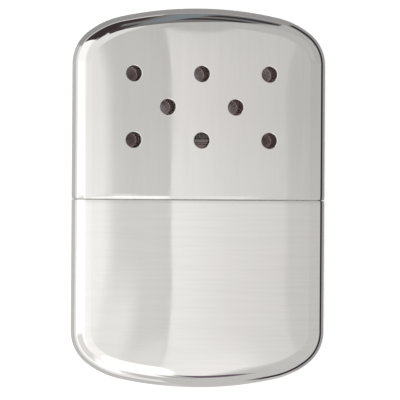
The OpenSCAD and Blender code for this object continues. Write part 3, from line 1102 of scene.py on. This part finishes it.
def chrome(name, tint, grain_along_x):
    """Polished chrome plate: fine wiping marks, a few hairline scratches and faint smears."""
    made = new_material(name)
    smear = made.noise(90.0, 5.0, 0.6)
    streak = made.noise((50, 1100, 300) if grain_along_x else (700, 45, 300), 3.0)
    breath = made.noise(38.0, 2.0)
    grain = made.noise((160, 5200, 900) if grain_along_x else (2400, 160, 900), 3.0)
    warmer = (tint[0] * 1.003, tint[1] * 0.993, tint[2] * 0.993)
    plate = made.mix(made.span(breath, 0.4, 0.65), tint, warmer)
    return made.surface({
        "Metallic": 1.0,
        "Base Color": made.mix(made.span(streak, 0.4, 0.7), plate, (0.975, 0.975, 0.975), "MULTIPLY"),
        "Roughness": made.span(smear, 0.4, 0.75, 0.02, 0.06),
        "Normal": made.bump(grain, 0.012 if grain_along_x else 0.005, 0.00002),
    })


def plated_inside(name):
    """Unpolished inner side of the drawn sheet, dulled by heat and fumes."""
    made = new_material(name)
    stain = made.noise(160.0, 6.0, 0.65)
    return made.surface({
        "Metallic": 0.5,
        "Base Color": made.mix(stain, (0.42, 0.3, 0.28), (0.58, 0.45, 0.42)),
        "Roughness": made.span(stain, 0.0, 1.0, 0.35, 0.6),
    })


def worn_metal(name, light, dark, rough, lines=(2400, 160, 900), depth=0.05, tinted=None):
    """Unpolished metal: drawn or brushed lines, with stains between two tones, which may be tinted."""
    made = new_material(name)
    stain = made.noise(220.0, 6.0, 0.62)
    tone = made.mix(made.span(stain, 0.35, 0.7), light, dark)
    return made.surface({
        "Metallic": 1.0,
        "Base Color": tinted(made, tone) if tinted else tone,
        "Roughness": made.span(stain, 0.35, 0.7, *rough),
        "Normal": made.bump(made.noise(lines, 4.0), depth, 0.00005),
    })


# Heights in metres where heat begins to tint and where it is full, and the share of a tone that is
# left, from no heat to much: straw, brown and blue
HEAT_ZONE = (0.0122, 0.0162)
HEAT_TINTS = (
    (0.35, (1.0, 1.0, 1.0)), (0.45, (1.0, 0.88, 0.7)), (0.6, (0.66, 0.48, 0.4)), (0.78, (0.4, 0.31, 0.32)),
    (0.95, (0.36, 0.32, 0.36)),
)


def heated(made, tone):
    """A tone of stainless sheet, tinted by heat towards the catalyst."""
    height = made.add("SeparateXYZ", "Y", Vector=made.where)
    drift = made.work("MULTIPLY", made.noise(130.0, 3.0), 0.7)
    ramp = made.add("ValToRGB", Fac=made.work("ADD", made.span(height, *HEAT_ZONE), drift))
    stops = ramp.node.color_ramp.elements
    for position, _ in HEAT_TINTS[1:-1]:
        stops.new(position)
    for stop, (position, colour) in zip(stops, HEAT_TINTS):
        stop.position, stop.color = position, (*colour, 1)
    return made.mix(0.8, tone, ramp, "MULTIPLY")


def fibres(name, light, dark, scale, depth):
    """Felt, wadding or glass-fibre mat: a dull tangle of fine threads."""
    made = new_material(name)
    bend = made.add("TexNoise", "Color", Vector=made.where, Scale=scale / 3, Detail=3.0)
    moved = made.mix(0.0006 * scale / 1000, made.where, bend)
    threads = [
        made.noise(tuple(scale * k for k in stretch), 4.0, where=moved)
        for stretch in ((1.0, 0.12, 1.0), (0.14, 1.0, 0.6))
    ]
    tangle = made.work("MAXIMUM", *threads)
    return made.surface({
        "Base Color": made.mix(made.span(tangle, 0.42, 0.68), dark, light),
        "Roughness": 0.95,
        "Specular IOR Level": 0.15,
        "Sheen Weight": 0.25,
        "Normal": made.bump(tangle, 0.6, depth),
    })


# ---- Stage ----

FLOOR_SIZE = 4.0
FLOOR_DROP = 0.0002


def floor():
    """White floor that glows, so that a shadow hardly shows, but for the narrow space under the object, where
    painted shade fades the glow and makes the floor dim and warm brown by ambient occlusion. The plate doesn't
    mirror it."""
    mesh = bpy.data.meshes.new("floor")
    corners = [(x * FLOOR_SIZE, y * FLOOR_SIZE, 0) for x, y in ((-1, -1), (1, -1), (1, 1), (-1, 1))]
    mesh.from_pydata(corners, [], [(0, 1, 2, 3)])
    piece = new_object("floor", mesh)
    piece.location.z = -FLOOR_DROP
    made = new_material("pale_floor")
    tone = made.mix(made.noise(300.0, 2.0), (0.86, 0.86, 0.86), (0.9, 0.9, 0.9))
    # painted shade: ambient occlusion turns off the glow and darkens the floor to a warm brown under and right
    # beside the object
    clear = made.span(made.add("AmbientOcclusion", "AO", samples=8, Distance=0.02), 0.13, 0.4)
    mesh.materials.append(made.surface({
        "Base Color": made.mix(clear, (0.46, 0.33, 0.32), tone),
        "Emission Color": (1, 1, 1, 1),
        "Emission Strength": made.work("MULTIPLY", clear, 0.4),
        "Roughness": 0.9,
        "Specular IOR Level": 0.1,
    }))
    piece.visible_glossy = False


# ---- Camera, placed by the photograph ----

PHOTO_MM = 0.2616
PHOTO_WIDTH = 400 * PHOTO_MM
VIEW_TURN = math.radians(7.5)
VIEW_RIGHT = 0.458
VIEW_DOWN = 0.55
VIEW_ROLL = math.radians(0.38)
DISTANCE = 1200.0
SENSOR = 36.0


def camera():
    lens = bpy.data.cameras.new("camera")
    lens.sensor_width = SENSOR
    lens.lens = SENSOR * DISTANCE / PHOTO_WIDTH
    lens.clip_end = 20
    piece = new_object("camera", lens)
    right = np.array([math.cos(VIEW_TURN), 0, math.sin(VIEW_TURN)])
    back = np.array([-math.sin(VIEW_TURN), 0, math.cos(VIEW_TURN)])
    target = np.array([0, -VIEW_DOWN, MID_Z]) + VIEW_RIGHT * right
    piece.location = (target + DISTANCE * back) * MM
    turn = Matrix.Rotation(-VIEW_TURN, 3, "Y") @ Matrix.Rotation(VIEW_ROLL, 3, "Z")
    piece.rotation_euler = turn.to_euler()
    bpy.context.scene.camera = piece


# ---- Light ----

# The room is described round the line of sight of the photograph. Angles are in degrees:
# side: from the line of sight towards +X, end: from it towards +Y, down: from it in any direction,
# turn: round it from +Y towards +X, low_turn: round it from -Y towards +X, slant: down and twice turn,
# foot: end less 1.3 times side.

# Brightness by side: a white wall on the left, whose edge shows as an upright line, and a gray one on the right
SIDE_LIGHT = (
    (-42, 1.3), (-36, 1.15), (-29, 1.02), (3, 0.99), (7.2, 0.94), (8.1, 0.72), (9.1, 0.68), (11.2, 0.68),
    (12.55, 0.655), (12.7, 0.89), (15, 0.835), (17.3, 0.77), (21.7, 0.7), (22.1, 0.62), (27, 0.57),
)
# The share of it that is left by end
END_LIGHT = ((0, 1.0), (1.5, 0.92), (3.5, 0.9), (5.5, 0.86))

# Things that stand in the room, each painted over those before it: its ranges, the softness of its
# edges in degrees, and its light and tint
WARM_DARK = (1.0, 0.78, 0.8)
PLUM_DARK = (1.0, 0.8, 0.98)
COOL = (0.9, 1.0, 1.1)
PLAIN = (1.0, 0.99, 0.975)
THINGS = {
    "top wall": ({"side": (11.5, 60), "end": (5.8, 40)}, 0.25, 0.54, PLAIN),
    "pale foot of the left wall": ({"side": (7.6, 12.6), "end": (-14, -3.9)}, 1.2, 0.77, PLAIN),
    "paler foot at its edge": ({"side": (7.2, 9.8), "end": (-14, -1.6)}, 1.6, 0.84, PLAIN),
    "white wall below on the left": ({"side": (-40, 8.1), "foot": (-300, -16.4)}, 0.6, 1.13, PLAIN),
    "white wall below": ({"side": (8, 12.6), "end": (-80, -5.6)}, 0.25, 1.15, PLAIN),
    "pale wall below": ({"side": (13, 19), "end": (-45, -5.0)}, 3.0, 0.9, PLAIN),
    "far wall on the left": ({"turn": (-152, -96), "down": (46, 86)}, 10.0, 0.78, PLAIN),
    "top ledge": ({"turn": (-10, 25), "down": (34, 93)}, 4.0, 0.2, PLAIN),
    "dark corner": ({"turn": (-59, -6), "down": (50, 98), "slant": (-12, 400)}, 5.0, 0.045, WARM_DARK),
    "foot of the dark corner": (
        {"turn": (-28, -16), "down": (41, 60), "slant": (-14, 400)}, 6.0, 0.045, WARM_DARK,
    ),
    "dark shelf at the corner": ({"turn": (-12, 0), "down": (67, 88)}, 4.0, 0.05, WARM_DARK),
    "lower shelf at the corner": (
        {"turn": (-20, 3), "down": (33, 53), "slant": (13, 400)}, 4.0, 0.06, WARM_DARK,
    ),
    "window": ({"turn": (3, 11), "down": (47, 90)}, 3.0, 0.25, COOL),
    "dark shelf on the right": ({"turn": (11, 25), "down": (49, 60)}, 3.0, 0.045, PLUM_DARK),
    "second shelf on the right": ({"turn": (11, 25), "down": (70, 84)}, 3.0, 0.05, PLUM_DARK),
    "low wall below": ({"low_turn": (-6, 40), "down": (68, 180)}, 8.0, 0.56, PLAIN),
    "dark gap below": ({"low_turn": (11, 24), "down": (48, 61)}, 4.0, 0.13, PLUM_DARK),
    "dim gap below": ({"low_turn": (5, 12), "down": (55, 67)}, 3.0, 0.46, PLAIN),
    "skirting on the left": ({"side": (-180, -6), "down": (92, 180)}, 5.0, 0.86, PLAIN),
    "ground on the left": ({"side": (-180, -6), "down": (110, 180)}, 8.0, 0.55, PLAIN),
    "ground at the top": ({"turn": (-60, 60), "down": (97, 180)}, 6.0, 0.34, PLAIN),
    "ground on the right": ({"turn": (55, 150), "down": (118, 180)}, 8.0, 0.36, PLAIN),
    "dark skirting": ({"turn": (28, 165), "down": (103, 122)}, 4.0, 0.03, PLUM_DARK),
}


def room():
    """Soft light by direction, from the walls and the dark gaps between them."""
    bpy.context.scene.world = bpy.data.worlds.new("room")
    sky = Nodes(bpy.context.scene.world, "Generated")
    work, span = sky.work, sky.span

    def broken_line(angle, corners):
        total = corners[0][1]
        for (a, low), (b, high) in zip(corners, corners[1:]):
            total = work("ADD", span(angle, a, b, 0.0, high - low), total)
        return total

    def between(angle, ends, soft):
        rise, drop = (span(angle, end - soft / 2, end + soft / 2, kind="SMOOTHSTEP") for end in ends)
        return work("SUBTRACT", rise, drop)

    turned = sky.add("VectorRotate", rotation_type="Y_AXIS", Angle=VIEW_TURN, Vector=sky.where)
    x, y, z = sky.add("SeparateXYZ", Vector=turned).node.outputs
    across = work("SQRT", work("ADD", work("MULTIPLY", x, x), work("MULTIPLY", z, z)))
    angles = {
        "side": work("ARCTAN2", x, z),
        "end": work("ARCTAN2", y, across),
        "down": work("ARCCOSINE", z),
        "turn": work("ARCTAN2", x, y),
        "low_turn": work("ARCTAN2", x, work("MULTIPLY", y, -1.0)),
    }
    angles = {name: work("DEGREES", angle) for name, angle in angles.items()}
    angles["slant"] = work("ADD", angles["down"], work("MULTIPLY", angles["turn"], 2.0))
    angles["foot"] = work("SUBTRACT", angles["end"], work("MULTIPLY", angles["side"], 1.3))
    level = work("MULTIPLY", broken_line(angles["side"], SIDE_LIGHT), broken_line(angles["end"], END_LIGHT))
    colour = sky.add("VectorMath", operation="SCALE", Vector=PLAIN, Scale=level)
    for ranges, soft, light, tint in THINGS.values():
        mask = 1.0
        for name, ends in ranges.items():
            mask = work("MULTIPLY", between(angles[name], ends, soft), mask)
        colour = sky.mix(mask, colour, [light * c for c in tint])
    sky.feed(sky.tree.nodes["Background"], "Color", colour)


LAMP_SIZE = 1.6
LAMP_POWER = 14
LAMP_PLACE = (-0.35, 0.2, 1.5)


def lamp():
    """A wide soft lamp overhead for the floor and the hollows. The plate doesn't mirror it."""
    light = bpy.data.lights.new("lamp", "AREA")
    light.size = LAMP_SIZE
    light.energy = LAMP_POWER
    piece = new_object("lamp", light)
    piece.location = LAMP_PLACE
    piece.rotation_euler = Vector(LAMP_PLACE).to_track_quat("Z", "Y").to_euler()
    piece.visible_glossy = False


camera()
floor()
room()
lamp()
bpy.context.scene.view_settings.view_transform = "Standard"

cap_chrome = chrome("cap_chrome", (0.875, 0.865, 0.85), False)
tank_chrome = chrome("tank_chrome", (0.93, 0.92, 0.905), True)
inside_plate = plated_inside("inside_plate")

cap_skin = case_half(CAP_RIM, crowned(3, 8), vent_centres(), CAP_ROLL)
place("cap_case", cap_skin.mesh("cap_case"), "cap", ["cap_shell"], "case_chrome", cap_chrome, inside_plate)
tank_skin = case_half(TANK_RIM, crowned(21, 34), [], TANK_ROLL).flipped(*TO_TANK_END)
tank_mesh = tank_skin.mesh("tank_case")
place("tank_case", tank_mesh, "tank", ["tank_shell"], "case_chrome", tank_chrome, inside_plate)

collar_metal = worn_metal("satin_nickel", (0.7, 0.685, 0.65), (0.6, 0.585, 0.55), (0.24, 0.36))
neck_metal = worn_metal("dull_brass", (0.76, 0.62, 0.4), (0.5, 0.37, 0.22), (0.28, 0.45), (900, 900, 900))
burner_metal = worn_metal(
    "heated_steel", (0.52, 0.495, 0.47), (0.36, 0.33, 0.305), (0.24, 0.4), (1800, 300, 1800), 0.08, heated,
)
wire_metal = worn_metal("gauze_steel", (0.32, 0.27, 0.26), (0.19, 0.15, 0.15), (0.4, 0.55))
former_metal = worn_metal("former_steel", (0.42, 0.39, 0.37), (0.25, 0.22, 0.2), (0.4, 0.55))
felt = fibres("wool_felt", (0.88, 0.85, 0.78), (0.68, 0.64, 0.56), 2600, 0.00006)
cotton = fibres("cotton_wadding", (0.95, 0.94, 0.92), (0.8, 0.79, 0.76), 1400, 0.0001)
glass_mat = fibres("glass_fibre_mat", (0.5, 0.48, 0.455), (0.2, 0.19, 0.18), 3000, 0.00006)

place("collar", tank_top().mesh("collar"), "tank", ["tank_top"], "collar_plate", collar_metal)
place("neck", neck().mesh("neck"), "tank", ["neck_sleeve"], "neck_brass", neck_metal)

wad_lower = end_wad("cotton_lower").flipped(*TO_TANK_END)
soft_pieces = (
    ("wick", wick(), "tank", "wick_felt", "felt", felt, 0.9),
    ("wad_upper", wad("cotton_upper", UPPER_PAD_OUT), "tank", "cotton_upper", "cotton", cotton, 0.5),
    ("wad_middle", wad("cotton_middle", PAD_OUT), "tank", "cotton_middle", "cotton", cotton, 0.5),
    ("wad_lower", wad_lower, "tank", "cotton_lower", "cotton", cotton, 0.5),
    ("fibre_mat", catalyst(), "burner", "catalyst_mat", "glass_fibre", glass_mat, 0.8),
)
for name, skin, body, node, slot, material, fill in soft_pieces:
    mesh = skin.mesh(name)
    place(name, mesh, body, [node], slot, material)

steel, wire = ("burner_steel", burner_metal), ("gauze_wire", wire_metal)
burner_pieces = (
    ("skirt", burner_skirt(), "burner_skirt", *steel),
    ("base_plate", burner_base(), "burner_base", *steel),
    ("front_grille", grille(), "grille_front", *steel),
    ("back_grille", grille().flipped(*TO_BACK), "grille_back", *steel),
    ("right_channel", side_channel(), "seam_channel_right", *steel),
    ("left_channel", side_channel().flipped(*TO_LEFT), "seam_channel_left", *steel),
    ("top_channel", top_channel(), "seam_channel_top", *steel),
    ("front_gauze", gauze(), "gauze_front", *wire),
    ("back_gauze", gauze().flipped(*TO_BACK), "gauze_back", *wire),
)
for name, skin, node, slot, material in burner_pieces:
    place(name, skin.mesh(name), "burner", [node], slot, material)

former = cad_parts["mat_former"]
former.data.materials.clear()
former.data.materials.append(former_metal)
